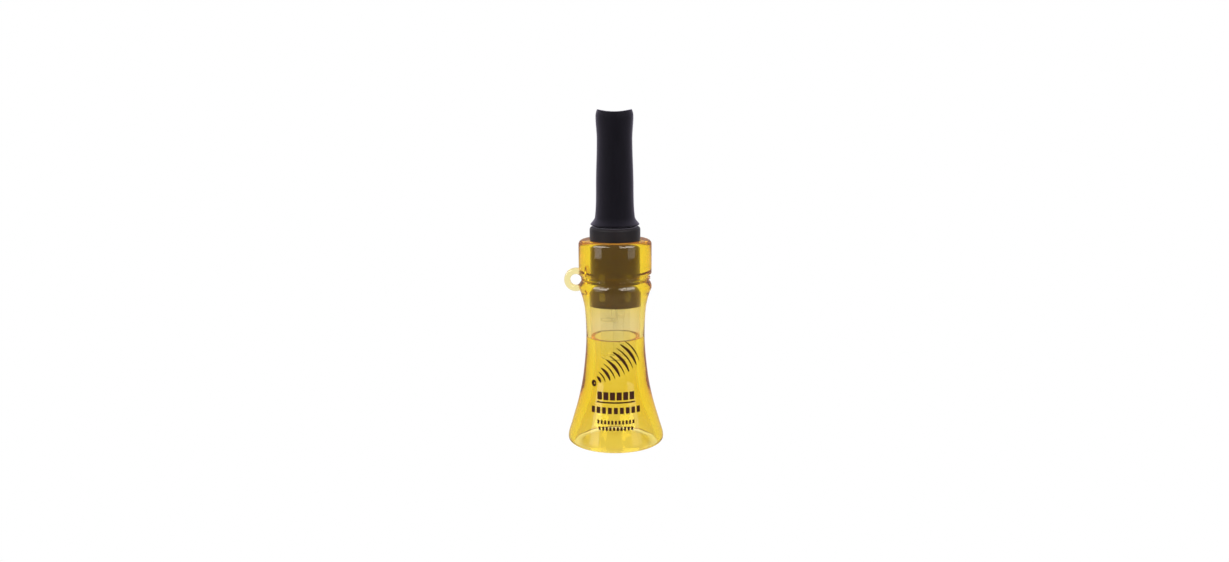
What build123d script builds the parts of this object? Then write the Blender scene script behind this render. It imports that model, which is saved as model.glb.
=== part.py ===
"""A blown crow call: a flared amber barrel, a black stopper that carries the reed
assembly, and a rubber mouth tube.

Millimetres. The origin is the centre of the bell rim, +Z points up to the mouth end,
-Y is the printed front and the lanyard loop is on the -X side.
"""

from build123d import *
import os

# ---- Driving dimensions -------------------------------------------------------

# Barrel, outside. Stations are (radius, height), and a lean is a curve's direction there.
RIM_R = 20.3
RIM_LAND_Z = 1.6
RIM_LEAN = (-0.05, 1)
BELL_STATIONS = [(18.9, 6.9), (15.75, 18.0), (13.6, 29.2)]
WAIST = (12.3, 46.0)
NECK_STATIONS = [(12.8, 57.0), (13.7, 61.6), (14.4, 63.9)]
BEAD_CREST = (15.25, 66.4)
BEAD_SHOULDER = (14.9, 67.9)
BEAD_END_LEAN = (-1, 0.8)
GROOVE_R = 14.1
GROOVE_LOW_Z = 68.9
GROOVE_HIGH_Z = 71.2
RIB_R = 14.35
RIB_Z = 69.9
RIB_HEIGHT = 0.8
GROOVE_ROUND = 0.4
COLLAR_R = 15.2
COLLAR_LOW_Z = 72.1
BARREL_TOP_Z = 86.0
COLLAR_TOP_ROUND = 1.8
COLLAR_LOW_ROUND = 0.6
RIM_OUTER_ROUND = 1.1
RIM_INNER_ROUND = 0.6

# Barrel, inside: a straight socket, a ledge, a throat and the flared bell
SOCKET_R = 10.62
SOCKET_LEAD_IN = 0.5
LEDGE_Z = 45.0
LEDGE_ROUND = 0.15
THROAT_R = 8.8
THROAT_ROUND = 0.2
BELL_INNER_STATIONS = [(9.0, 31.0), (10.7, 18.0), (14.6, 7.5)]
BELL_MOUTH_R = 17.3
BELL_MOUTH_LEAN = (0.3, -1)

# Lanyard loop, moulded on the barrel across the groove
LOOP_X = -16.4
LOOP_Z = 69.3
LOOP_R = 4.9
LOOP_HOLE_R = 2.4
LOOP_THICK = 2.8
LOOP_EDGE = 0.9
LOOP_HOLE_FLARE = 0.35
LOOP_CORE_REACH = 6.0

# Gate mark, in the groove opposite the loop
GATE_R = 0.75
GATE_REACH = 14.6
GATE_Z = 70.0

# Stopper: a plug with a spigot for the mouth tube
STOPPER_R = 10.54
STOPPER_LOW_Z = 58.9
STOPPER_TOP_Z = 91.6
STOPPER_TOP_ROUND = 1.3
STOPPER_LOW_ROUND = 0.5
SEAT_R = 8.6
SEAT_TOP_Z = 92.2
SPIGOT_R = 6.3
SPIGOT_TOP_Z = 115.0
SPIGOT_ROOT_ROUND = 0.8
SPIGOT_TIP_ROUND = 0.3
BARB_RISE = 0.2
BARB_PITCH = 4.5
BARB_FIRST_Z = 100.0
BARB_COUNT = 3
REED_SOCKET_R = 6.26
REED_SOCKET_TOP_Z = 77.8
AIRWAY_R = 5.5

# Mouth tube: soft rubber with a flared skirt and a lip
SKIRT_R = 10.1
SKIRT_LOW_Z = 92.3
SKIRT_LEAN = (-1, 1.2)
SKIRT_EDGE = 0.45
SKIRT_HOLLOW_R = 8.9
TUBE_STATIONS = [(8.25, 95.6), (7.65, 112.8), (7.25, 127.8)]
TUBE_LIP = (7.7, 135.6)
TUBE_END_R = 7.0
TUBE_END_LEAN = (-0.3, 1)
TUBE_BLANK_TOP_Z = 141.0
TUBE_SPIGOT_BORE_R = 6.62
TUBE_BORE_R = 5.6
TUBE_MOUTH_BORE_R = 5.9
TUBE_STEP_Z = 116.0
TUBE_STEP_HEIGHT = 1.0
TUBE_DIP_Z = 138.4
TUBE_DIP_ARC_R = 25.0

# Tone board: a round stem that becomes a half-round trough for the reed
REED_TURN = -80.0
BOARD_R = 6.2
BOARD_LOW_Z = 35.5
BOARD_LOW_ROUND = 0.8
BOARD_SHOULDER_Z = 77.5
BOARD_TIP_Z = 108.0
TONGUE_R = 5.25
FACE_Y = -0.3
TIP_GAP = 1.2
CHANNEL_R = 2.6
CHANNEL_Y = 1.2
CHANNEL_LOW_Z = 53.6
CHANNEL_HIGH_Z = 101.0
STEM_BORE_R = 2.1
STEM_BORE_MOUTH_R = 3.0

# Reed: a thin strip on the tone board's face
REED_THICK = 0.36
REED_HALF_WIDTH = 4.3
REED_LOW_Z = 53.0
REED_TIP_Z = 107.0
REED_TIP_CORNER = 2.6
REED_GAP = 0.01

# Wedge: the half-round that pins the reed's root on the tone board
WEDGE_LOW_Z = 52.3
WEDGE_CORNER = 2.0
WEDGE_SEAT_GAP = 0.05

# How far a cutting shape reaches past what it cuts
OVERRUN = 1.0
UPRIGHT = (0, 1)


# ---- Helpers ------------------------------------------------------------------


def lathe(lines, corners=()):
    """Turns a closed outline of (radius, height) about Z, after rounding its corners.

    corners is a list of ((radius, height), rounding).
    """
    outline = make_face(Curve() + lines)
    for point, rounding in corners:
        corner = min(outline.vertices(), key=lambda v: (Vector(v) - Vector(*point)).length)
        outline = fillet(corner, rounding)
    return revolve(Plane.XZ * outline, Axis.Z)


def block(y_low, y_high, z_low, z_high, half_width):
    """A block across X between two depths and two heights."""
    size = (2 * half_width, y_high - y_low, z_high - z_low)
    return Pos(0, (y_low + y_high) / 2, (z_low + z_high) / 2) * Box(*size)


def rod(radius, z_low, z_high, y=0.0):
    """A round bar parallel to Z."""
    return Pos(0, y, (z_low + z_high) / 2) * Cylinder(radius, z_high - z_low)


# ---- Barrel -------------------------------------------------------------------


def barrel_outside():
    """The outside from the rim to the collar's top, and the corners to round."""
    rim = (RIM_R, 0)
    land = (RIM_R, RIM_LAND_Z)
    groove_low = (GROOVE_R, GROOVE_LOW_Z)
    groove_high = (GROOVE_R, GROOVE_HIGH_Z)
    rib = [
        (GROOVE_R, RIB_Z - RIB_HEIGHT / 2),
        (RIB_R, RIB_Z - RIB_HEIGHT / 4),
        (RIB_R, RIB_Z + RIB_HEIGHT / 4),
        (GROOVE_R, RIB_Z + RIB_HEIGHT / 2),
    ]
    collar_low = (COLLAR_R, COLLAR_LOW_Z)
    collar_top = (COLLAR_R, BARREL_TOP_Z)
    lines = [
        Line(rim, land),
        Spline(land, *BELL_STATIONS, WAIST, tangents=[RIM_LEAN, UPRIGHT]),
        Spline(WAIST, *NECK_STATIONS, BEAD_CREST, tangents=[UPRIGHT, UPRIGHT]),
        Spline(BEAD_CREST, BEAD_SHOULDER, groove_low, tangents=[UPRIGHT, BEAD_END_LEAN]),
        Polyline(groove_low, *rib, groove_high, collar_low, collar_top),
    ]
    corners = [
        (rim, RIM_OUTER_ROUND),
        (groove_high, GROOVE_ROUND),
        (collar_low, COLLAR_LOW_ROUND),
        (collar_top, COLLAR_TOP_ROUND),
    ]
    return lines, corners


def barrel_inside():
    """The inside from the collar's top to the rim, and the corners to round."""
    socket_top = (SOCKET_R, BARREL_TOP_Z)
    ledge = (SOCKET_R, LEDGE_Z)
    throat = (THROAT_R, LEDGE_Z)
    mouth = (BELL_MOUTH_R, 0)
    lines = [
        Polyline((COLLAR_R, BARREL_TOP_Z), socket_top, ledge, throat),
        Spline(throat, *BELL_INNER_STATIONS, mouth, tangents=[(0, -1), BELL_MOUTH_LEAN]),
        Line(mouth, (RIM_R, 0)),
    ]
    corners = [
        (socket_top, SOCKET_LEAD_IN),
        (ledge, LEDGE_ROUND),
        (throat, THROAT_ROUND),
        (mouth, RIM_INNER_ROUND),
    ]
    return lines, corners


def lanyard_loop():
    """The disc of the loop, with rounded edges and no hole yet."""
    disc = Pos(LOOP_X, 0, LOOP_Z) * Rot(90, 0, 0) * Cylinder(LOOP_R, LOOP_THICK)
    return fillet(disc.edges().filter_by(GeomType.CIRCLE), LOOP_EDGE)


def lanyard_hole():
    """What the loop's hole takes away: a round core that flares at the loop's faces.

    The core reaches past the loop on both sides, so the rib beside it leaves a clear way.
    """
    face = LOOP_THICK / 2
    mouth_r = LOOP_HOLE_R + LOOP_HOLE_FLARE
    outline = Polyline(
        (0, -LOOP_CORE_REACH),
        (LOOP_HOLE_R, -LOOP_CORE_REACH),
        (LOOP_HOLE_R, -face),
        (mouth_r, -face),
        (LOOP_HOLE_R, LOOP_HOLE_FLARE - face),
        (LOOP_HOLE_R, face - LOOP_HOLE_FLARE),
        (mouth_r, face),
        (LOOP_HOLE_R, face),
        (LOOP_HOLE_R, LOOP_CORE_REACH),
        (0, LOOP_CORE_REACH),
        close=True,
    )
    return Pos(LOOP_X, 0, LOOP_Z) * Rot(90, 0, 0) * lathe([outline])


def barrel():
    """The amber barrel: socket, groove, loop, waist and bell in one moulding."""
    outer_lines, outer_corners = barrel_outside()
    inner_lines, inner_corners = barrel_inside()
    body = lathe(outer_lines + inner_lines, outer_corners + inner_corners)
    wall_middle = (GROOVE_R + SOCKET_R) / 2
    gate_length = GATE_REACH - wall_middle
    gate = Rot(0, 90, 0) * Cylinder(GATE_R, gate_length)
    body += Pos(wall_middle + gate_length / 2, 0, GATE_Z) * gate
    return body + lanyard_loop() - lanyard_hole()


# ---- Stopper and mouth tube ---------------------------------------------------


def stopper():
    """The black plug in the socket, hollow for the reed, with a barbed spigot."""
    barbs = []
    for i in range(BARB_COUNT):
        z = BARB_FIRST_Z + BARB_PITCH * i
        barbs += [
            (SPIGOT_R, z),
            (SPIGOT_R + BARB_RISE, z + BARB_RISE),
            (SPIGOT_R, z + BARB_PITCH / 2),
        ]
    seat_foot = (SEAT_R, STOPPER_TOP_Z)
    spigot_root = (SPIGOT_R, SEAT_TOP_Z)
    spigot_top = (SPIGOT_R, SPIGOT_TOP_Z)
    outline = Polyline(
        (REED_SOCKET_R, STOPPER_LOW_Z),
        (STOPPER_R, STOPPER_LOW_Z),
        (STOPPER_R, STOPPER_TOP_Z),
        seat_foot,
        (SEAT_R, SEAT_TOP_Z),
        spigot_root,
        *barbs,
        spigot_top,
        (AIRWAY_R, SPIGOT_TOP_Z),
        (AIRWAY_R, REED_SOCKET_TOP_Z),
        (REED_SOCKET_R, REED_SOCKET_TOP_Z),
        close=True,
    )
    corners = [
        ((STOPPER_R, STOPPER_LOW_Z), STOPPER_LOW_ROUND),
        ((STOPPER_R, STOPPER_TOP_Z), STOPPER_TOP_ROUND),
        (spigot_root, SPIGOT_ROOT_ROUND),
        (spigot_top, SPIGOT_TIP_ROUND),
        ((AIRWAY_R, SPIGOT_TOP_Z), SPIGOT_TIP_ROUND),
    ]
    return lathe([outline], corners)


def mouth_tube():
    """The rubber tube that the caller blows into, its end dipped for the lips."""
    skirt_tip = (SKIRT_R, SKIRT_LOW_Z)
    skirt_hollow = (SKIRT_HOLLOW_R, SKIRT_LOW_Z)
    blank_end = (TUBE_END_R, TUBE_BLANK_TOP_Z)
    root_z = TUBE_STATIONS[0][1]
    lines = [
        Line(skirt_hollow, skirt_tip),
        Spline(skirt_tip, *TUBE_STATIONS, TUBE_LIP, tangents=[SKIRT_LEAN, UPRIGHT]),
        Spline(TUBE_LIP, blank_end, tangents=[UPRIGHT, TUBE_END_LEAN]),
        Polyline(
            blank_end,
            (TUBE_MOUTH_BORE_R, TUBE_BLANK_TOP_Z),
            (TUBE_BORE_R, TUBE_LIP[1]),
            (TUBE_BORE_R, TUBE_STEP_Z + TUBE_STEP_HEIGHT),
            (TUBE_SPIGOT_BORE_R, TUBE_STEP_Z),
            (TUBE_SPIGOT_BORE_R, root_z),
            skirt_hollow,
        ),
    ]
    blank = lathe(lines, [(skirt_tip, SKIRT_EDGE)])
    dip = Rot(90, 0, 0) * Cylinder(TUBE_DIP_ARC_R, 4 * TUBE_END_R)
    return blank - Pos(0, 0, TUBE_DIP_Z + TUBE_DIP_ARC_R) * dip


# ---- Reed assembly ------------------------------------------------------------


def turned(shape):
    """Turns the reed assembly in the stopper, from facing -Y to how it sits."""
    return Rot(0, 0, REED_TURN) * shape


def tone_board():
    """The clear tone board: stem bore, channel and a face that ramps off the reed."""
    stem = rod(BOARD_R, BOARD_LOW_Z, BOARD_SHOULDER_Z)
    low_rim = stem.edges().filter_by(GeomType.CIRCLE).sort_by(Axis.Z)[0]
    board = fillet(low_rim, BOARD_LOW_ROUND)
    board += rod(TONGUE_R, BOARD_SHOULDER_Z, BOARD_TIP_Z)

    flat_low_z = WEDGE_LOW_Z - WEDGE_SEAT_GAP
    front_y = -2 * BOARD_R
    in_front = Polyline(
        (front_y, flat_low_z),
        (FACE_Y, flat_low_z),
        (FACE_Y, BOARD_SHOULDER_Z),
        (FACE_Y + TIP_GAP, BOARD_TIP_Z + OVERRUN),
        (front_y, BOARD_TIP_Z + OVERRUN),
        close=True,
    )
    board -= extrude(Plane.YZ * make_face(in_front), amount=2 * BOARD_R, both=True)

    channel_end_z = CHANNEL_HIGH_Z - CHANNEL_R
    channel = rod(CHANNEL_R, CHANNEL_LOW_Z, channel_end_z, CHANNEL_Y)
    channel += Pos(0, CHANNEL_Y, channel_end_z) * Sphere(CHANNEL_R)
    slot = block(FACE_Y - OVERRUN, CHANNEL_Y, CHANNEL_LOW_Z, channel_end_z, CHANNEL_R)
    slot_depth = CHANNEL_Y - FACE_Y + OVERRUN
    slot_end = Rot(90, 0, 0) * Cylinder(CHANNEL_R, slot_depth)
    slot += Pos(0, CHANNEL_Y - slot_depth / 2, channel_end_z) * slot_end
    bore = rod(STEM_BORE_R, BOARD_LOW_Z - OVERRUN, CHANNEL_LOW_Z + OVERRUN, CHANNEL_Y)
    mouth_rise = STEM_BORE_MOUTH_R - STEM_BORE_R
    mouth = Cone(STEM_BORE_MOUTH_R, STEM_BORE_R, mouth_rise)
    bore += Pos(0, CHANNEL_Y, BOARD_LOW_Z + mouth_rise / 2) * mouth
    return turned(board - channel - slot - bore)


def reed():
    """The thin strip that vibrates, rounded at its tip."""
    back_y = FACE_Y - REED_GAP
    strip = block(back_y - REED_THICK, back_y, REED_LOW_Z, REED_TIP_Z, REED_HALF_WIDTH)
    tip_edges = strip.edges().filter_by(Axis.Y).group_by(Axis.Z)[-1]
    return turned(fillet(tip_edges, REED_TIP_CORNER))


def reed_wedge():
    """The half-round that fills the stopper in front of the reed's root."""
    back_y = FACE_Y - REED_THICK - 2 * REED_GAP
    wedge = rod(BOARD_R, WEDGE_LOW_Z, BOARD_SHOULDER_Z)
    envelope = block(-2 * BOARD_R, back_y, WEDGE_LOW_Z, BOARD_SHOULDER_Z, BOARD_R)
    low_sides = envelope.edges().filter_by(Axis.Y).group_by(Axis.Z)[0]
    return turned(wedge & fillet(low_sides, WEDGE_CORNER))


# ---- Export -------------------------------------------------------------------

PIECES = {
    "barrel": barrel,
    "stopper": stopper,
    "mouth_tube": mouth_tube,
    "tone_board": tone_board,
    "reed": reed,
    "reed_wedge": reed_wedge,
}

os.makedirs("parts", exist_ok=True)
for name, make in PIECES.items():
    export_step(make(), f"parts/{name}.step")
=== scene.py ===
import math

import bmesh
import bpy
from mathutils import Matrix, Vector


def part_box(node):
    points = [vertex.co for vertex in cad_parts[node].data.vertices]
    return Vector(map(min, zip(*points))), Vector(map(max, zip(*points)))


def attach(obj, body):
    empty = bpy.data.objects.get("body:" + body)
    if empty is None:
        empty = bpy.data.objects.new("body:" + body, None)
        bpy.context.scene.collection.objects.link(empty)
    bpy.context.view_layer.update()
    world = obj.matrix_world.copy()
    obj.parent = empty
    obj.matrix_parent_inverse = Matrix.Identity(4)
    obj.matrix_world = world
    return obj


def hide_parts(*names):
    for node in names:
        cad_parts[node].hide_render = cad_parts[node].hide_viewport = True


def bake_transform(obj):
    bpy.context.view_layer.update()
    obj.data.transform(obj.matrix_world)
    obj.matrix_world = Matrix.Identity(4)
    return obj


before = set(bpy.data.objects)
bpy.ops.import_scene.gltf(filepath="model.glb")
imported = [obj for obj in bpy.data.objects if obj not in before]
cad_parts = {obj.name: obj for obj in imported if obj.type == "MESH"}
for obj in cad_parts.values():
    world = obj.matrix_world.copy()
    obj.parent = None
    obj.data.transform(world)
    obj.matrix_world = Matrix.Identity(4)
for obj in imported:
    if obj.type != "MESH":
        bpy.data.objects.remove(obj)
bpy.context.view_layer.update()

MM = 0.001

# ---- Sizes in millimetres, close to the CAD frame's ------------------------------

# Barrel. Stations are (radius, height). A lean is a curve's direction at its end.
UPRIGHT = (0, 1)
DOWN = (0, -1)
RIM_R = 20.3
RIM_LAND_Z = 1.6
RIM_LEAN = (-0.05, 1)
RIM_OUTER_ROUND = 1.1
RIM_INNER_ROUND = 0.6
BELL_STATIONS = [(18.9, 6.9), (15.75, 18.0), (13.6, 29.2)]
WAIST = (12.3, 46.0)
NECK_STATIONS = [(12.8, 57.0), (13.7, 61.6), (14.4, 63.9)]
BEAD_CREST = (15.25, 66.4)
BEAD_SHOULDER = (14.9, 67.9)
BEAD_END_LEAN = (-1, 0.8)
GROOVE_R = 14.1
GROOVE_LOW_Z = 68.9
GROOVE_HIGH_Z = 71.2
GROOVE_ROUND = 0.4
RIB_R = 14.35
RIB_Z = 69.9
RIB_HEIGHT = 0.8
RIB_ROOT_ROUND = 0.15
RIB_TOP_ROUND = 0.1
COLLAR_R = 15.2
COLLAR_LOW_Z = 72.1
COLLAR_LOW_ROUND = 0.6
COLLAR_TOP_ROUND = 1.8
SOCKET_R = 10.62
SOCKET_LEAD_IN = 0.5
LEDGE_Z = 45.0
LEDGE_ROUND = 0.15
THROAT_R = 8.8
THROAT_ROUND = 0.2
THROAT_STRAIGHT = 1
BELL_INNER_STATIONS = [(9.0, 31.0), (10.7, 18.0), (14.6, 7.5)]
BELL_MOUTH_R = 17.3
BELL_MOUTH_LEAN = (0.3, -1)

# Lanyard loop and gate mark
LOOP_X = -16.4
LOOP_Z = 69.3
LOOP_R = 4.9
LOOP_HOLE_R = 2.4
LOOP_THICK = 2.8
LOOP_EDGE = 0.9
LOOP_CORE_REACH = 6
# How much wider the hole is at a depth under the loop's face
LOOP_HOLE_FLARE = [(0, 0.5), (0.12, 0.2), (0.45, -0.01), (0, -0.3)]
GATE_R = 0.75
GATE_TIP_R = 0.7
GATE_ROOT_X = 12.5
GATE_REACH = 14.6
GATE_ROUND = 0.15
GATE_Z = 70

# Stopper
STOPPER_R = 10.54
STOPPER_TOP_Z = 91.6
STOPPER_LOW_ROUND = 0.5
STOPPER_TOP_ROUND = 1.3
SEAT_R = 8.6
SEAT_TOP_Z = 92.2
SEAT_ROUND = 0.15
SPIGOT_R = 6.3
SPIGOT_TOP_Z = 115.0
SPIGOT_ROOT_ROUND = 0.8
SPIGOT_TIP_ROUND = 0.3
BARB_RISE = 0.2
BARB_PITCH = 4.5
BARB_FIRST_Z = 100.0
BARB_COUNT = 3
BARB_ROUND = 0.05
REED_SOCKET_R = 6.26
REED_SOCKET_TOP_Z = 77.8
REED_SOCKET_MOUTH_ROUND = 0.15
REED_SOCKET_TOP_ROUND = 0.1
AIRWAY_R = 5.5

# Mouth tube
SKIRT_R = 10.1
SKIRT_HOLLOW_R = 8.9
SKIRT_EDGE_HEIGHT = 0.4
SKIRT_LEAN = (-1, 1.2)
SKIRT_INNER_ROUND = 0.1
SKIRT_OUTER_ROUND = 0.16
TUBE_STATIONS = [(8.25, 95.6), (7.65, 112.8), (7.25, 127.8)]
TUBE_LIP = (7.7, 135.6)
TUBE_END_R = 7.05
TUBE_END_LEAN = (-0.35, 1)
TUBE_END_ROUND = 0.35
TUBE_BORE_R = 5.6
TUBE_BORE_FLARE = 0.25
TUBE_BORE_FLARE_DEPTH = 3
TUBE_BORE_FLARE_ROUND = 0.5
TUBE_SPIGOT_BORE_R = 6.62
TUBE_STEP_Z = 116.0
TUBE_STEP_HEIGHT = 1
TUBE_STEP_ROUND = 0.3
TUBE_DIP_FROM_Z = 128.0
TUBE_DIP_Z = 138.4
TUBE_DIP_ARC_R = 25.0

# Reed
REED_TURN = math.radians(-80)
FACE_Y = -0.3
REED_THICK = 0.36
REED_HALF_WIDTH = 4.3
REED_TIP_CORNER = 2.6
REED_GAP = 0.01
REED_ROWS = 40

# Heights taken from the frame itself
BARREL_TOP_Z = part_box("barrel")[1].z / MM
STOPPER_LOW_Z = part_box("stopper")[0].z / MM
SKIRT_LOW_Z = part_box("mouth_tube")[0].z / MM
REED_LOW_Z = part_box("reed")[0].z / MM
REED_TIP_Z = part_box("reed")[1].z / MM


# ---- Outlines ------------------------------------------------------------------


def through(stations, start, end, steps=14):
    """A smooth run of (radius, height) points through stations, with end directions."""
    points = [Vector(p) for p in stations]
    slopes = [Vector(start).normalized() * (points[1] - points[0]).length]
    for before, after in zip(points, points[2:]):
        slopes.append((after - before) / 2)
    slopes.append(Vector(end).normalized() * (points[-1] - points[-2]).length)
    out = [tuple(points[0])]
    for i in range(len(points) - 1):
        p, q = points[i], points[i + 1]
        reach = (q - p).length
        a = slopes[i].normalized() * reach
        b = slopes[i + 1].normalized() * reach
        for k in range(1, steps + 1):
            t = k / steps
            p_share = 2 * t**3 - 3 * t**2 + 1
            a_share = t**3 - 2 * t**2 + t
            q_share = 3 * t**2 - 2 * t**3
            b_share = t**3 - t**2
            out.append(tuple(p * p_share + a * a_share + q * q_share + b * b_share))
    return out


def rounded(points, steps=7, closed=True):
    """An outline with rounded corners. A point is (radius, height), or with its rounding."""
    out = []
    count = len(points)
    for i, point in enumerate(points):
        here = Vector(point[:2])
        rounding = point[2] if len(point) > 2 else 0
        inside = closed or 0 < i < count - 1
        if not rounding or not inside:
            out.append(tuple(here))
            continue
        to_last = (Vector(points[i - 1][:2]) - here).normalized()
        to_next = (Vector(points[(i + 1) % count][:2]) - here).normalized()
        half = to_last.angle(to_next) / 2
        setback = rounding / math.tan(half)
        centre = here + (to_last + to_next).normalized() * rounding / math.sin(half)
        first = here + to_last * setback - centre
        turn = first.angle_signed(here + to_next * setback - centre)
        for k in range(steps + 1):
            out.append(tuple(centre + Matrix.Rotation(-turn * k / steps, 2) @ first))
    return out


def radius_at(outline, height):
    """The radius of a rising outline at a height."""
    for (r0, z0), (r1, z1) in zip(outline, outline[1:]):
        if z0 <= height <= z1 and z1 > z0:
            return r0 + (r1 - r0) * (height - z0) / (z1 - z0)
    return outline[-1][0]


# ---- Meshes --------------------------------------------------------------------


def shade(mesh, sharp_degrees):
    """Smooth shading, except at edges sharper than the angle."""
    for face in mesh.polygons:
        face.use_smooth = True
    mesh.set_sharp_from_angle(angle=math.radians(sharp_degrees))


def as_object(name, bm, sharp_degrees=35):
    """Makes and links an object from a finished bmesh."""
    bmesh.ops.recalc_face_normals(bm, faces=bm.faces)
    mesh = bpy.data.meshes.new(name)
    bm.to_mesh(mesh)
    bm.free()
    shade(mesh, sharp_degrees)
    piece = bpy.data.objects.new(name, mesh)
    bpy.context.scene.collection.objects.link(piece)
    return piece


def lathe(outline, segments, warp=None):
    """A bmesh that turns a closed outline about Z. warp moves each (x, y, z), in mm."""
    bm = bmesh.new()
    rings = []
    for i in range(segments):
        angle = 2 * math.pi * i / segments
        ring = []
        for radius, height in outline:
            place = (radius * math.sin(angle), -radius * math.cos(angle), height)
            if warp:
                place = warp(*place)
            ring.append(bm.verts.new(Vector(place) * MM))
        rings.append(ring)
    count = len(outline)
    for i in range(segments):
        here, there = rings[i], rings[(i + 1) % segments]
        for k in range(count):
            following = (k + 1) % count
            bm.faces.new((here[k], here[following], there[following], there[k]))
    return bm


def disc(outline, segments=96):
    """A bmesh that turns an open outline, whose ends lie on the axis, into a closed solid."""
    bm = bmesh.new()
    ends = [bm.verts.new(Vector((0, 0, outline[k][1])) * MM) for k in (0, -1)]
    rings = []
    for i in range(segments):
        angle = 2 * math.pi * i / segments
        ring = [
            bm.verts.new(Vector((r * math.cos(angle), r * math.sin(angle), z)) * MM)
            for r, z in outline[1:-1]
        ]
        rings.append(ring)
    for i in range(segments):
        here, there = rings[i], rings[(i + 1) % segments]
        bm.faces.new((ends[0], there[0], here[0]))
        for k in range(len(here) - 1):
            bm.faces.new((here[k], there[k], there[k + 1], here[k + 1]))
        bm.faces.new((ends[1], here[-1], there[-1]))
    return bm


def combine(piece, tool, operation):
    """Joins tool to piece, or cuts it away, and throws the tool away."""
    modifier = piece.modifiers.new("combine", "BOOLEAN")
    modifier.operation = operation
    modifier.solver = "EXACT"
    modifier.object = tool
    graph = bpy.context.evaluated_depsgraph_get()
    made = bpy.data.meshes.new_from_object(piece.evaluated_get(graph))
    piece.modifiers.clear()
    piece.data = made
    bpy.data.objects.remove(tool)


# ---- Barrel --------------------------------------------------------------------


def barrel_outside():
    """The outside of the barrel from the rim up, as a rising outline."""
    groove_low = (GROOVE_R, GROOVE_LOW_Z)
    bell = through([(RIM_R, RIM_LAND_Z), *BELL_STATIONS, WAIST], RIM_LEAN, UPRIGHT)
    neck = through([WAIST, *NECK_STATIONS, BEAD_CREST], UPRIGHT, UPRIGHT)
    bead = through([BEAD_CREST, BEAD_SHOULDER, groove_low], UPRIGHT, BEAD_END_LEAN)
    return [
        (RIM_R, 0, RIM_OUTER_ROUND),
        *bell,
        *neck[1:],
        *bead[1:],
        (GROOVE_R, RIB_Z - RIB_HEIGHT / 2, RIB_ROOT_ROUND),
        (RIB_R, RIB_Z - RIB_HEIGHT / 4, RIB_TOP_ROUND),
        (RIB_R, RIB_Z + RIB_HEIGHT / 4, RIB_TOP_ROUND),
        (GROOVE_R, RIB_Z + RIB_HEIGHT / 2, RIB_ROOT_ROUND),
        (GROOVE_R, GROOVE_HIGH_Z, GROOVE_ROUND),
        (COLLAR_R, COLLAR_LOW_Z, COLLAR_LOW_ROUND),
        (COLLAR_R, BARREL_TOP_Z, COLLAR_TOP_ROUND),
    ]


def barrel_inside():
    """The inside of the barrel from the top of the socket down to the rim."""
    bell = through(
        [(THROAT_R, LEDGE_Z - THROAT_STRAIGHT), *BELL_INNER_STATIONS, (BELL_MOUTH_R, 0)],
        DOWN,
        BELL_MOUTH_LEAN,
    )
    return [
        (SOCKET_R, BARREL_TOP_Z, SOCKET_LEAD_IN),
        (SOCKET_R, LEDGE_Z, LEDGE_ROUND),
        (THROAT_R, LEDGE_Z, THROAT_ROUND),
        *bell[:-1],
        (BELL_MOUTH_R, 0, RIM_INNER_ROUND),
    ]


def loop_outline():
    """Half the loop's section: a disc with rounded edges."""
    face = LOOP_THICK / 2
    return rounded(
        [(0, -face), (LOOP_R, -face, LOOP_EDGE), (LOOP_R, face, LOOP_EDGE), (0, face)],
        closed=False,
    )


def loop_hole_outline():
    """Half the hole's section: a core that flares smoothly at the loop's two faces."""
    face = LOOP_THICK / 2
    half = [(LOOP_HOLE_R + wider, depth - face) for wider, depth in LOOP_HOLE_FLARE]
    half += [(LOOP_HOLE_R, -LOOP_CORE_REACH), (0, -LOOP_CORE_REACH)]
    return half[::-1] + [(radius, -height) for radius, height in half]


def gate_outline():
    """Half the gate mark's section: a short peg."""
    root = [(0, GATE_ROOT_X), (GATE_R, GATE_ROOT_X)]
    tip = [(GATE_TIP_R, GATE_REACH, GATE_ROUND), (0, GATE_REACH)]
    return rounded(root + tip, closed=False)


def make_barrel():
    """The whole moulding: a lathed wall, the lanyard loop and the gate mark."""
    outline = rounded(barrel_outside() + barrel_inside())
    barrel = as_object("barrel_moulding", lathe(outline, 256))

    quarter = math.radians(90)
    loop_centre = Matrix.Translation((LOOP_X * MM, 0, LOOP_Z * MM))
    across = loop_centre @ Matrix.Rotation(quarter, 4, "X")
    sideways = Matrix.Translation((0, 0, GATE_Z * MM)) @ Matrix.Rotation(quarter, 4, "Y")
    for name, solid, place, operation in (
        ("loop_tool", disc(loop_outline()), across, "UNION"),
        ("hole_tool", disc(loop_hole_outline()), across, "DIFFERENCE"),
        ("gate_tool", disc(gate_outline(), 32), sideways, "UNION"),
    ):
        tool = as_object(name, solid)
        tool.data.transform(place)
        combine(barrel, tool, operation)

    shade(barrel.data, 40)
    return barrel


# ---- Print on the barrel --------------------------------------------------------

INK_LOW = 0.012
INK_HIGH = 0.05

# Sound arcs around ARC_SOURCE. ARC_START and ARC_END are the first arc's angle in degrees
# and the change for each next arc, and ARC_WIDTHS take turns.
ARC_SOURCE = (-9.6, 27.4)
ARC_COUNT = 10
ARC_FIRST_R = 3.2
ARC_PITCH = 2.15
ARC_WIDTHS = (1.25, 0.6)
ARC_START = (12, 1.2)
ARC_END = (66, -1.3)
ARC_TIP_SHARE = 0.35
DOT_R = 0.8
DOT_WIDTH = 1.4

UNDERLINE_HALF = 8.3
UNDERLINE_Z = 20.2
UNDERLINE_WIDTH = 0.6
UNDERLINE_STEPS = 13

# Rows of blocks: height, how tall, how many, half the row's width, share inked
BLOCK_ROWS = [
    (22.8, 3.2, 6, 8.3, 0.78),
    (17.0, 2.5, 9, 11.2, 0.66),
    (12.4, 1.5, 11, 8.2, 0.58),
    (9.9, 1.4, 10, 7.6, 0.62),
]


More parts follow.
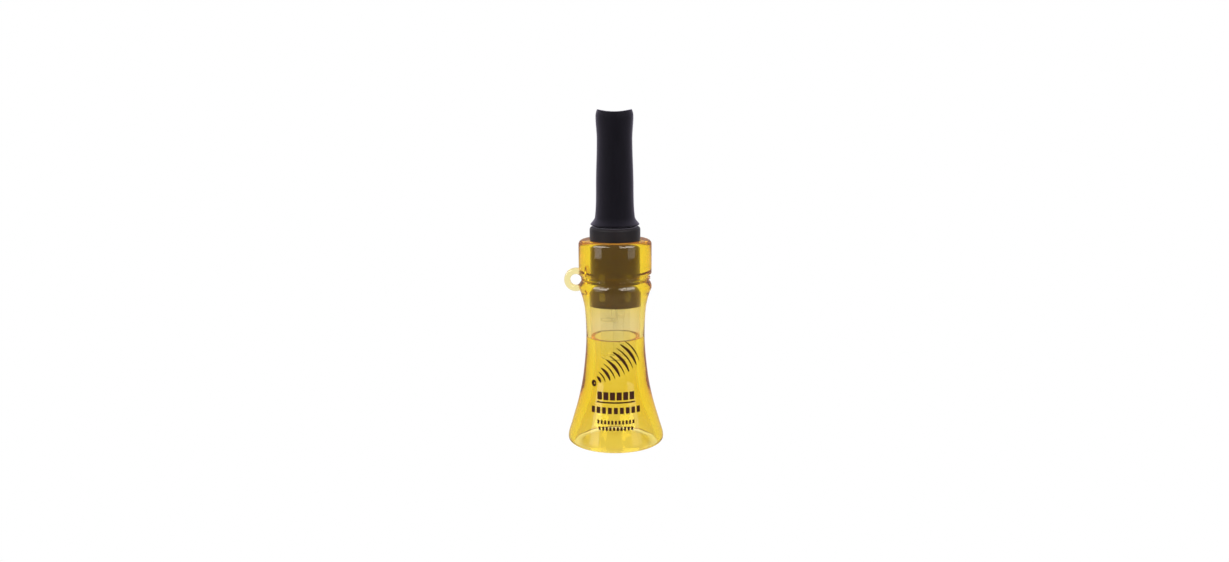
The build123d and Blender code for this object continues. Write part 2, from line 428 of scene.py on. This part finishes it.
def wrap(bm, outline, stations):
    """Lays one thin stroke on the barrel. Stations are (across, height, half-width)."""
    rails = []
    for i, (across, height, half) in enumerate(stations):
        before = stations[max(i - 1, 0)]
        after = stations[min(i + 1, len(stations) - 1)]
        along = Vector((after[0] - before[0], after[1] - before[1])).normalized()
        side = Vector((-along.y, along.x)) * half
        rail = []
        for sign, lift in ((1, INK_LOW), (1, INK_HIGH), (-1, INK_HIGH), (-1, INK_LOW)):
            s = across + side.x * sign
            z = height + side.y * sign
            wall = radius_at(outline, z)
            angle = s / wall
            r = wall + lift
            place = Vector((r * math.sin(angle), -r * math.cos(angle), z))
            rail.append(bm.verts.new(place * MM))
        rails.append(rail)
    for here, there in zip(rails, rails[1:]):
        for k in range(4):
            following = (k + 1) % 4
            bm.faces.new((here[k], there[k], there[following], here[following]))
    bm.faces.new(rails[0])
    bm.faces.new(list(reversed(rails[-1])))


def arc_stroke(centre, radius, start, end, width, steps=22):
    """A curved stroke that thins towards both ends."""
    stations = []
    for k in range(steps + 1):
        t = k / steps
        angle = math.radians(start + (end - start) * t)
        taper = ARC_TIP_SHARE + (1 - ARC_TIP_SHARE) * math.sin(math.pi * t)
        x = centre[0] + radius * math.cos(angle)
        z = centre[1] + radius * math.sin(angle)
        stations.append((x, z, width / 2 * taper))
    return stations


def bar_stroke(left, right, height, width, steps):
    """A straight level bar."""
    return [(left + (right - left) * k / steps, height, width / 2) for k in range(steps + 1)]


def make_print():
    """A plain generic print: sound arcs, an underline and rows of blocks."""
    bm = bmesh.new()
    outline = [p[:2] for p in barrel_outside()]
    for ring in range(ARC_COUNT):
        radius = ARC_FIRST_R + ARC_PITCH * ring
        start = ARC_START[0] + ring * ARC_START[1]
        end = ARC_END[0] + ring * ARC_END[1]
        wrap(bm, outline, arc_stroke(ARC_SOURCE, radius, start, end, ARC_WIDTHS[ring % 2]))
    # The dot is a ring that stops one degree short of closing
    wrap(bm, outline, arc_stroke(ARC_SOURCE, DOT_R, 0, 359, DOT_WIDTH, 16))
    underline = (-UNDERLINE_HALF, UNDERLINE_HALF, UNDERLINE_Z, UNDERLINE_WIDTH)
    wrap(bm, outline, bar_stroke(*underline, UNDERLINE_STEPS))
    for height, tall, count, half_span, inked in BLOCK_ROWS:
        pitch = 2 * half_span / count
        for k in range(count):
            left = -half_span + pitch * (k + (1 - inked) / 2)
            wrap(bm, outline, bar_stroke(left, left + pitch * inked, height, tall, 2))
    return as_object("barrel_print", bm, 60)


# ---- Stopper, tube and reed ------------------------------------------------------


def make_stopper():
    """The black plug and its barbed spigot."""
    barbs = []
    for i in range(BARB_COUNT):
        z = BARB_FIRST_Z + BARB_PITCH * i
        barbs += [
            (SPIGOT_R, z),
            (SPIGOT_R + BARB_RISE, z + BARB_RISE, BARB_ROUND),
            (SPIGOT_R, z + BARB_PITCH / 2),
        ]
    outline = rounded(
        [
            (REED_SOCKET_R, STOPPER_LOW_Z, REED_SOCKET_MOUTH_ROUND),
            (STOPPER_R, STOPPER_LOW_Z, STOPPER_LOW_ROUND),
            (STOPPER_R, STOPPER_TOP_Z, STOPPER_TOP_ROUND),
            (SEAT_R, STOPPER_TOP_Z, SEAT_ROUND),
            (SEAT_R, SEAT_TOP_Z, SEAT_ROUND),
            (SPIGOT_R, SEAT_TOP_Z, SPIGOT_ROOT_ROUND),
            *barbs,
            (SPIGOT_R, SPIGOT_TOP_Z, SPIGOT_TIP_ROUND),
            (AIRWAY_R, SPIGOT_TOP_Z, SPIGOT_TIP_ROUND),
            (AIRWAY_R, REED_SOCKET_TOP_Z, REED_SOCKET_TOP_ROUND),
            (REED_SOCKET_R, REED_SOCKET_TOP_Z, REED_SOCKET_TOP_ROUND),
        ]
    )
    return as_object("stopper_plug", lathe(outline, 160))


def tube_end_warp(x, y, z):
    """Curves the tube's end to the lips, lowest at the front and back."""
    share = min(max((z - TUBE_DIP_FROM_Z) / (TUBE_DIP_Z - TUBE_DIP_FROM_Z), 0), 1)
    ease = share * share * (3 - 2 * share)
    return x, y, z + ease * x * x / (2 * TUBE_DIP_ARC_R)


def make_tube():
    """The rubber mouth tube with its skirt and curved end."""
    skirt_edge = (SKIRT_R, SKIRT_LOW_Z + SKIRT_EDGE_HEIGHT)
    end = (TUBE_END_R, TUBE_DIP_Z)
    side = through([skirt_edge, *TUBE_STATIONS, TUBE_LIP, end], SKIRT_LEAN, TUBE_END_LEAN)
    outline = rounded(
        [
            (SKIRT_HOLLOW_R, SKIRT_LOW_Z, SKIRT_INNER_ROUND),
            (SKIRT_R, SKIRT_LOW_Z, SKIRT_OUTER_ROUND),
            *side[:-1],
            (*end, TUBE_END_ROUND),
            (TUBE_BORE_R + TUBE_BORE_FLARE, TUBE_DIP_Z, TUBE_END_ROUND),
            (TUBE_BORE_R, TUBE_LIP[1] - TUBE_BORE_FLARE_DEPTH, TUBE_BORE_FLARE_ROUND),
            (TUBE_BORE_R, TUBE_STEP_Z + TUBE_STEP_HEIGHT, TUBE_STEP_ROUND),
            (TUBE_SPIGOT_BORE_R, TUBE_STEP_Z, TUBE_STEP_ROUND),
            (TUBE_SPIGOT_BORE_R, TUBE_STATIONS[0][1], TUBE_STEP_ROUND),
        ]
    )
    return as_object("mouth_tube_rubber", lathe(outline, 160, tube_end_warp))


def make_reed():
    """The thin strip, with enough rows to bend smoothly."""
    rows = []
    for k in range(REED_ROWS + 1):
        z = REED_LOW_Z + (REED_TIP_Z - REED_LOW_Z) * k / REED_ROWS
        half = REED_HALF_WIDTH
        from_tip = REED_TIP_Z - z
        if from_tip < REED_TIP_CORNER:
            drop = REED_TIP_CORNER - from_tip
            half -= REED_TIP_CORNER - math.sqrt(max(REED_TIP_CORNER**2 - drop**2, 0))
        rows.append((z, half))
    bm = bmesh.new()
    back = FACE_Y - REED_GAP
    front = back - REED_THICK
    rings = []
    for z, half in rows:
        corners = [(-half, front), (half, front), (half, back), (-half, back)]
        rings.append([bm.verts.new(Vector((x, y, z)) * MM) for x, y in corners])
    for here, there in zip(rings, rings[1:]):
        for k in range(4):
            following = (k + 1) % 4
            bm.faces.new((here[k], here[following], there[following], there[k]))
    bm.faces.new(list(reversed(rings[0])))
    bm.faces.new(rings[-1])
    bmesh.ops.rotate(bm, verts=bm.verts, matrix=Matrix.Rotation(REED_TURN, 3, "Z"))
    return as_object("reed_strip", bm)


# ---- Materials -------------------------------------------------------------------


class Shader:
    """A small helper to wire a procedural material."""

    def __init__(self, name):
        self.material = bpy.data.materials.new(name)
        self.material.use_nodes = True
        self.tree = self.material.node_tree
        self.bsdf = self.tree.nodes["Principled BSDF"]
        self.output = self.tree.nodes["Material Output"]

    def node(self, kind, **inputs):
        made = self.tree.nodes.new(kind)
        for key, value in inputs.items():
            made.inputs[key].default_value = value
        return made

    def link(self, source, target):
        self.tree.links.new(source, target)

    def set(self, **values):
        """Sets the main shader's inputs, with _ for each space in a name."""
        for key, value in values.items():
            self.bsdf.inputs[key.replace("_", " ")].default_value = value

    def noise(self, scale, detail=4.0, roughness=0.5, stretch=None):
        """Noise, finer with scale. A stretch below 1 draws it out along that axis."""
        source = self.node("ShaderNodeTexCoord").outputs["Object"]
        if stretch:
            mapping = self.node("ShaderNodeMapping")
            mapping.inputs["Scale"].default_value = stretch
            self.link(source, mapping.inputs["Vector"])
            source = mapping.outputs["Vector"]
        made = self.node("ShaderNodeTexNoise", Scale=scale, Detail=detail, Roughness=roughness)
        self.link(source, made.inputs["Vector"])
        return made.outputs["Fac"]

    def ramp(self, source, stops):
        """A colour ramp. stops are (position, colour)."""
        made = self.node("ShaderNodeValToRGB")
        ramp = made.color_ramp
        while len(ramp.elements) < len(stops):
            ramp.elements.new(0.5)
        for element, (position, colour) in zip(ramp.elements, stops):
            element.position = position
            element.color = (*colour, 1)
        self.link(source, made.inputs["Fac"])
        return made.outputs["Color"]

    def spread(self, source, low, high, from_low=0.3, from_high=0.7):
        """Maps a value, such as a noise's, to the range from low to high."""
        made = self.node("ShaderNodeMapRange")
        made.inputs["From Min"].default_value = from_low
        made.inputs["From Max"].default_value = from_high
        made.inputs["To Min"].default_value = low
        made.inputs["To Max"].default_value = high
        self.link(source, made.inputs["Value"])
        return made.outputs["Result"]

    def mixed(self, share, first, second):
        """The first colour, or the second where share is one."""
        made = self.tree.nodes.new("ShaderNodeMix")
        made.data_type = "RGBA"
        colours = [socket for socket in made.inputs if socket.type == "RGBA"]
        self.link(share, made.inputs["Factor"])
        self.link(first, colours[0])
        self.link(second, colours[1])
        return next(socket for socket in made.outputs if socket.type == "RGBA")

    def bump(self, heights):
        """Adds bumps from (height source, millimetres) pairs."""
        last = None
        for source, depth in heights:
            made = self.node("ShaderNodeBump", Strength=1, Distance=depth * MM)
            self.link(source, made.inputs["Height"])
            if last is not None:
                self.link(last, made.inputs["Normal"])
            last = made.outputs["Normal"]
        self.link(last, self.bsdf.inputs["Normal"])

    def absorb(self, colour, density):
        """Tints what passes through by the distance it goes."""
        made = self.node("ShaderNodeVolumeAbsorption", Density=density)
        made.inputs["Color"].default_value = (*colour, 1)
        self.link(made.outputs["Volume"], self.output.inputs["Volume"])


# Keeps the strongest loss just short of the density, so that no colour is nought
ABSORB_HEADROOM = 1.05


def absorbing(red, green, blue):
    """The colour and density for what each colour loses per millimetre."""
    density = max(red, green, blue) / MM * ABSORB_HEADROOM
    return tuple(1 - value / MM / density for value in (red, green, blue)), density


def amber_plastic():
    """Clear amber resin: tinted by thickness, with an orange sheen for what it scatters."""
    s = Shader("amber_plastic")
    s.set(IOR=1.46, Transmission_Weight=0.997)
    s.set(Sheen_Weight=0.2, Sheen_Roughness=0.6, Sheen_Tint=(1, 0.36, 0.04, 1))
    s.absorb(*absorbing(0.0015, 0.0225, 0.34))
    haze = s.noise(140, 3, 0.6)
    tone = s.ramp(haze, [(0.3, (0.875, 0.83, 0.98)), (0.7, (0.895, 0.85, 1))])
    s.link(tone, s.bsdf.inputs["Base Color"])
    scuffs = s.noise(900, 6, 0.7, (1, 1, 0.25))
    s.link(s.spread(scuffs, 0.015, 0.06, 0.45, 0.75), s.bsdf.inputs["Roughness"])
    s.bump([(haze, 0.018), (scuffs, 0.0012)])
    return s.material


def clear_plastic(name):
    """Clear plastic with a darker line painted along its edges, as painted shade for the dark
    edges that refraction gives cut acrylic.

    It bends light little, so that no dark block shows inside, and its coat gives the gloss.
    """
    s = Shader(name)
    s.set(IOR=1.04, Transmission_Weight=0.94)
    s.set(Coat_Weight=0.5, Coat_Roughness=0.06, Coat_IOR=1.5)
    s.absorb(*absorbing(0.006, 0.005, 0.006))
    # Painted shade: the base colour turns darker along the edges that the bevel finds, in
    # place of the dark line that refraction draws at cut edges
    rounded_normal = s.node("ShaderNodeBevel", Radius=0.35 * MM)
    rounded_normal.samples = 6
    turn = s.node("ShaderNodeVectorMath")
    turn.operation = "DOT_PRODUCT"
    s.link(rounded_normal.outputs["Normal"], turn.inputs[0])
    s.link(s.node("ShaderNodeNewGeometry").outputs["Normal"], turn.inputs[1])
    edge_shade_mask = s.spread(turn.outputs["Value"], 1, 0, 0.8, 0.99)
    body = s.ramp(s.noise(220, 3, 0.5), [(0.3, (0.95, 0.95, 0.93)), (0.7, (0.98, 0.98, 0.97))])
    painted_edge_shade = s.ramp(s.noise(900, 3, 0.6), [(0.3, (0.42, 0.35, 0.24)), (0.7, (0.55, 0.46, 0.32))])
    s.link(s.mixed(edge_shade_mask, body, painted_edge_shade), s.bsdf.inputs["Base Color"])
    ripple = s.noise(300, 4, 0.5, (1, 1, 0.3))
    s.link(s.spread(ripple, 0.04, 0.12), s.bsdf.inputs["Roughness"])
    s.bump([(ripple, 0.01)])
    return s.material


def reed_film():
    """Milky film, brushed along its length."""
    s = Shader("reed_film")
    s.set(IOR=1.03, Transmission_Weight=0.9)
    s.set(Coat_Weight=0.35, Coat_Roughness=0.15, Coat_IOR=1.5)
    brushed = s.noise(700, 5, 0.6, (1, 1, 0.08))
    tone = s.ramp(brushed, [(0.3, (0.86, 0.88, 0.86)), (0.7, (0.95, 0.96, 0.94))])
    s.link(tone, s.bsdf.inputs["Base Color"])
    s.link(s.spread(brushed, 0.2, 0.38), s.bsdf.inputs["Roughness"])
    s.bump([(brushed, 0.004)])
    return s.material


def black_plastic():
    """Satin black moulding."""
    s = Shader("black_plastic")
    s.set(IOR=1.5, Specular_IOR_Level=0.1, Sheen_Weight=0.4, Sheen_Roughness=0.4)
    s.set(Sheen_Tint=(0.86, 0.82, 1, 1))
    grain = s.noise(2600, 5, 0.6)
    patches = s.noise(160, 3, 0.5)
    tone = s.ramp(patches, [(0.3, (0.005, 0.0038, 0.0042)), (0.7, (0.008, 0.006, 0.0066))])
    s.link(tone, s.bsdf.inputs["Base Color"])
    s.link(s.spread(grain, 0.42, 0.58), s.bsdf.inputs["Roughness"])
    s.bump([(grain, 0.012)])
    return s.material


def black_rubber():
    """Matte black rubber with a faint violet bloom."""
    s = Shader("black_rubber")
    s.set(IOR=1.45, Specular_IOR_Level=0.03, Sheen_Weight=0.6, Sheen_Roughness=0.42)
    s.set(Sheen_Tint=(0.84, 0.76, 1, 1))
    grain = s.noise(3200, 6, 0.65)
    drag = s.noise(420, 4, 0.6, (1, 1, 0.2))
    tone = s.ramp(drag, [(0.3, (0.0006, 0.0005, 0.0012)), (0.72, (0.0018, 0.0015, 0.0028))])
    s.link(tone, s.bsdf.inputs["Base Color"])
    s.link(s.spread(grain, 0.52, 0.72), s.bsdf.inputs["Roughness"])
    s.bump([(drag, 0.03), (grain, 0.02)])
    return s.material


def ink():
    """Dark brown printing ink, slightly worn."""
    s = Shader("brown_ink")
    s.set(IOR=1.45, Specular_IOR_Level=0.1)
    wear = s.noise(1500, 5, 0.6)
    tone = s.ramp(wear, [(0.3, (0.022, 0.006, 0.003)), (0.7, (0.036, 0.011, 0.005))])
    s.link(tone, s.bsdf.inputs["Base Color"])
    s.link(s.spread(wear, 0.35, 0.6), s.bsdf.inputs["Roughness"])
    return s.material


def dress(piece, material):
    """Gives a piece its one material."""
    piece.data.materials.clear()
    piece.data.materials.append(material)


# ---- Assembly ---------------------------------------------------------------------


def add_piece(piece, material, body, replaced=()):
    """Dresses a piece, puts it on its body and hides the nodes that it replaces."""
    dress(piece, material)
    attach(piece, body)
    if replaced:
        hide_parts(*replaced)


add_piece(make_barrel(), amber_plastic(), "barrel", ["barrel"])
add_piece(make_print(), ink(), "barrel")
add_piece(make_stopper(), black_plastic(), "stopper", ["stopper"])
add_piece(make_tube(), black_rubber(), "mouth_tube", ["mouth_tube"])

# The reed strip takes the reed node's place, fixed where it is built
strip = make_reed()
dress(strip, reed_film())
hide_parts("reed")
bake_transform(strip)

for node in ("tone_board", "reed_wedge"):
    plastic = clear_plastic(f"{node}_plastic")
    for material_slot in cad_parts[node].material_slots:
        material_slot.material = plastic


# ---- Stage, light and camera, in metres and degrees ---------------------------------

# How bright the white floor and room are where a surface mirrors them, and the values of Y
# between which that changes: a place for the floor, a direction for the room
REFLECTED_FRONT = 0.12
REFLECTED_BACK = 0.35
FLOOR_CHANGE = (-0.2, -0.05)
ROOM_CHANGE = (-0.5, 0.3)

FLOOR_R = 6.0
FLOOR_DROP = 0.0002
# Between these radii under the bell the floor's glow fades out, as painted shade there
PAINTED_SHADE_SPOT_R = (0.0135, 0.0165)

# Soft boxes: name, azimuth, elevation, size, watts
LAMPS = [
    ("left_box", -52, 36, (0.6, 0.44), 6.5),
    ("right_box", 42, 36, (0.6, 0.44), 6.5),
    ("left_fill", -54, 6, (0.3, 0.36), 0.9),
    ("right_fill", 52, 6, (0.3, 0.36), 0.55),
]
LAMP_DISTANCE = 0.7
LAMP_AIM = Vector((0, 0, 0.07))

SENSOR_WIDTH = 36
FOCAL_PER_WIDTH = 960 / 1229
CAMERA_PLACE = (-0.0003, -0.395, 0.142)
CAMERA_DOWN = 10.54
CAMERA_ROLL = -0.28


def seen_level(tree, place, front, behind):
    """White as seen, but dimmer where a surface mirrors it, and dimmest in front."""
    split = tree.nodes.new("ShaderNodeSeparateXYZ")
    tree.links.new(place, split.inputs["Vector"])
    room = tree.nodes.new("ShaderNodeMapRange")
    room.inputs["From Min"].default_value = front
    room.inputs["From Max"].default_value = behind
    room.inputs["To Min"].default_value = REFLECTED_FRONT
    room.inputs["To Max"].default_value = REFLECTED_BACK
    tree.links.new(split.outputs["Y"], room.inputs["Value"])
    path = tree.nodes.new("ShaderNodeLightPath")
    level = tree.nodes.new("ShaderNodeMapRange")
    level.inputs["To Min"].default_value = 1.0
    tree.links.new(path.outputs["Is Reflection Ray"], level.inputs["Value"])
    tree.links.new(room.outputs["Result"], level.inputs["To Max"])
    return level.outputs["Result"]


def make_floor():
    """A plain white light table that glows, and gives no light only where the bell stands on
    it: there the glow stops as painted shade, so the floor shows only the lamps' and room's
    light through the bell.
    """
    bm = bmesh.new()
    bmesh.ops.create_circle(bm, cap_ends=True, segments=96, radius=FLOOR_R)
    floor = as_object("floor", bm)
    floor.location.z = -FLOOR_DROP
    s = Shader("floor_white")
    s.set(Base_Color=(0.72, 0.72, 0.72, 1), Roughness=0.9, Specular_IOR_Level=0.0)
    place = s.node("ShaderNodeNewGeometry").outputs["Position"]
    glow_level = seen_level(s.tree, place, *FLOOR_CHANGE)
    distance = s.node("ShaderNodeVectorMath")
    distance.operation = "LENGTH"
    s.link(place, distance.inputs[0])
    glow_outside_shade_spot = s.spread(distance.outputs["Value"], 0, 1, *PAINTED_SHADE_SPOT_R)
    glow = s.node("ShaderNodeEmission")
    s.link(glow_level, glow.inputs["Strength"])
    mix = s.node("ShaderNodeMixShader")
    s.link(glow_outside_shade_spot, mix.inputs["Fac"])
    s.link(s.bsdf.outputs["BSDF"], mix.inputs[1])
    s.link(glow.outputs["Emission"], mix.inputs[2])
    s.link(mix.outputs["Shader"], s.output.inputs["Surface"])
    dress(floor, s.material)


def make_world():
    """A white room all round, dimmed where a surface mirrors it, as the floor is."""
    world = bpy.data.worlds.new("studio")
    bpy.context.scene.world = world
    world.use_nodes = True
    tree = world.node_tree
    background = tree.nodes["Background"]
    background.inputs["Color"].default_value = (1, 1, 1, 1)
    direction = tree.nodes.new("ShaderNodeTexCoord").outputs["Generated"]
    level = seen_level(tree, direction, *ROOM_CHANGE)
    tree.links.new(level, background.inputs["Strength"])


def make_lamp(name, azimuth, elevation, size, power):
    """A soft box that faces the call's middle."""
    lamp = bpy.data.lights.new(name, "AREA")
    lamp.shape = "RECTANGLE"
    lamp.size, lamp.size_y = size
    lamp.energy = power
    box = bpy.data.objects.new(name, lamp)
    a, e = math.radians(azimuth), math.radians(elevation)
    back = Vector((math.sin(a) * math.cos(e), -math.cos(a) * math.cos(e), math.sin(e)))
    box.location = LAMP_AIM + back * LAMP_DISTANCE
    box.rotation_euler = (-back).to_track_quat("-Z", "Y").to_euler()
    bpy.context.scene.collection.objects.link(box)


def make_camera():
    """A camera close to the call, just above its top, looking down a little."""
    data = bpy.data.cameras.new("camera")
    data.sensor_width = SENSOR_WIDTH
    data.lens = SENSOR_WIDTH * FOCAL_PER_WIDTH
    camera = bpy.data.objects.new("camera", data)
    camera.location = CAMERA_PLACE
    tilt = Matrix.Rotation(math.radians(90) - math.radians(CAMERA_DOWN), 3, "X")
    roll = Matrix.Rotation(math.radians(CAMERA_ROLL), 3, "Z")
    camera.rotation_euler = (tilt @ roll).to_euler()
    bpy.context.scene.collection.objects.link(camera)
    bpy.context.scene.camera = camera


make_floor()
make_world()
for lamp_facts in LAMPS:
    make_lamp(*lamp_facts)
make_camera()
bpy.context.scene.view_settings.view_transform = "Standard"
